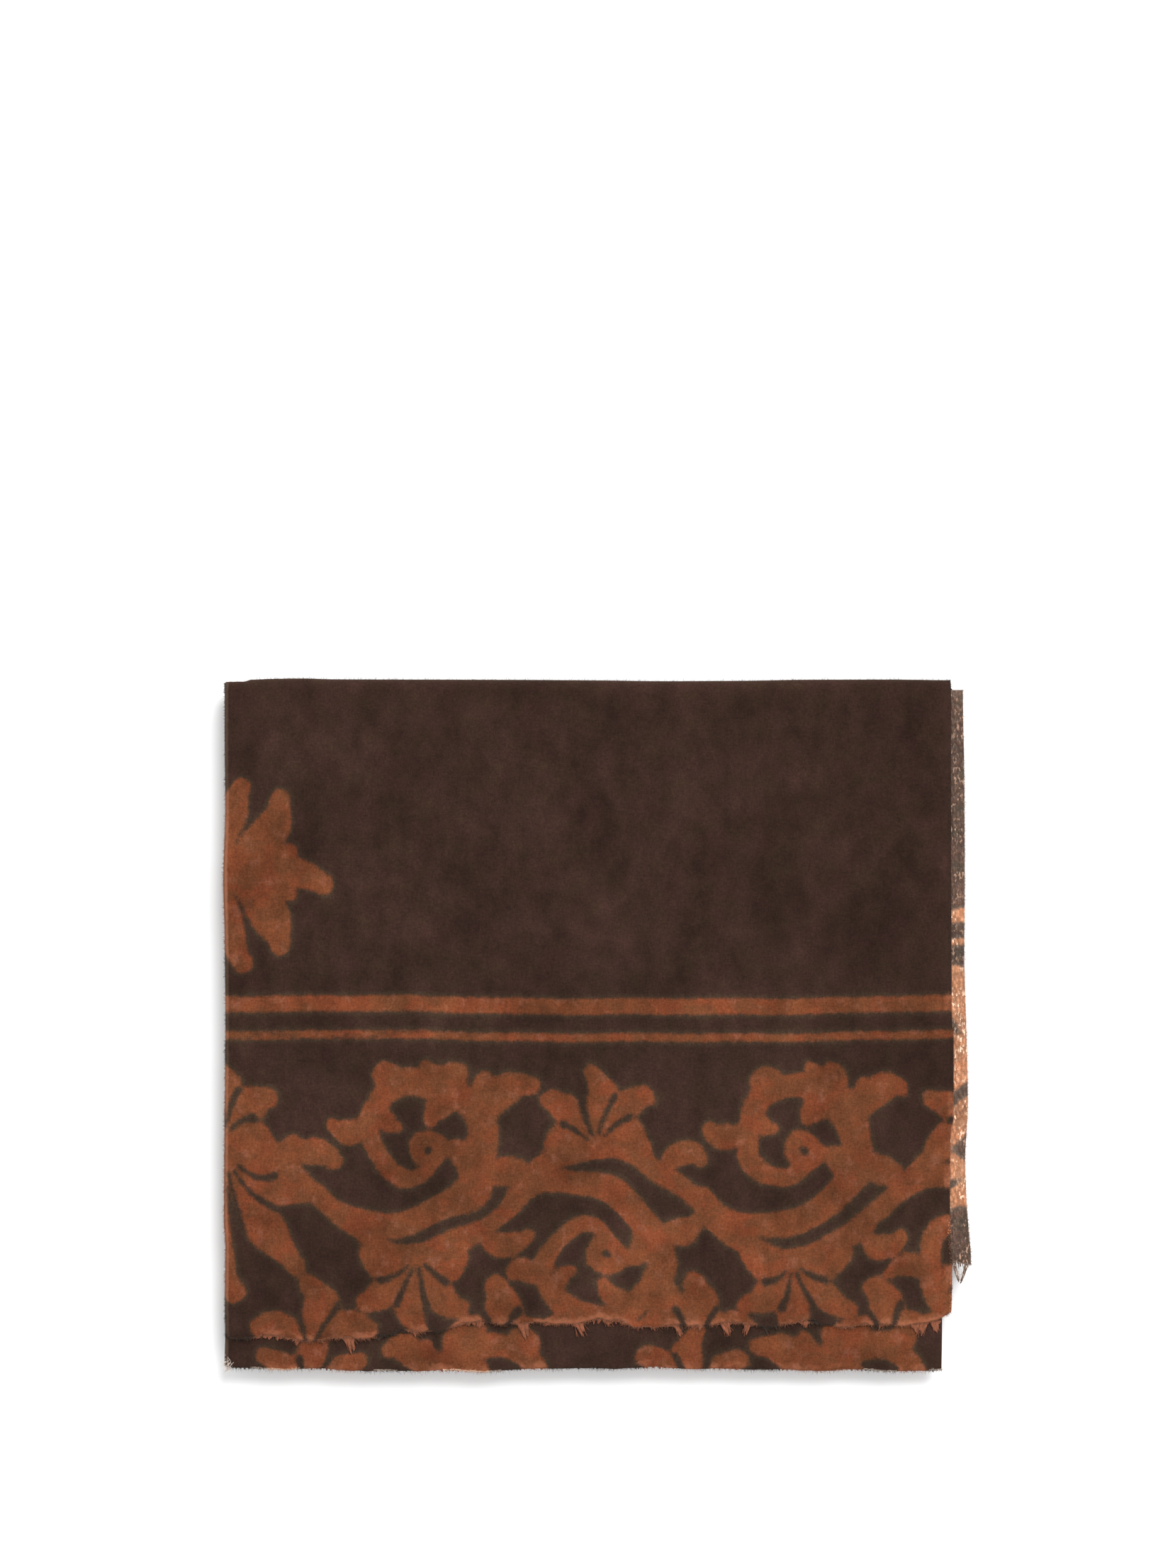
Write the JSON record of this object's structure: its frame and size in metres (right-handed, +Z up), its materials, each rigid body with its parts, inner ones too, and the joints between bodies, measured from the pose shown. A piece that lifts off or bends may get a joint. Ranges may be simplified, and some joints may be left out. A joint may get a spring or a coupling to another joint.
{
  "type": "folded scarf",
  "caption": "Brushed cashmere scarf folded into a flat rectangular parcel, with striped scroll print and short tufted raw ends.",
  "frame": {"origin": "centre of the folded parcel's box, on the surface that it lies on", "axes": "+Z up, +X to the right along the ply ends, from the lengthwise fold to the selvedges, +Y from the raw ends to the back fold"},
  "size_m": [0.359, 0.332, 0.0179],
  "materials": {
    "printed_face": "brushed nap, matt, dark brown ground with rust stripes and scrolls",
    "hidden_plies": "brushed nap, matt, brown with rust patches at the edges",
    "tufts": "matted cut threads, matt"
  },
  "bodies": {
    "root": {"leaf_1": "printed_face", "leaf_2": "printed_face", "folded_core": "hidden_plies", "fringe_a": "tufts", "fringe_b": "tufts", "fringe_c": "tufts"}
  },
  "joints": []
}
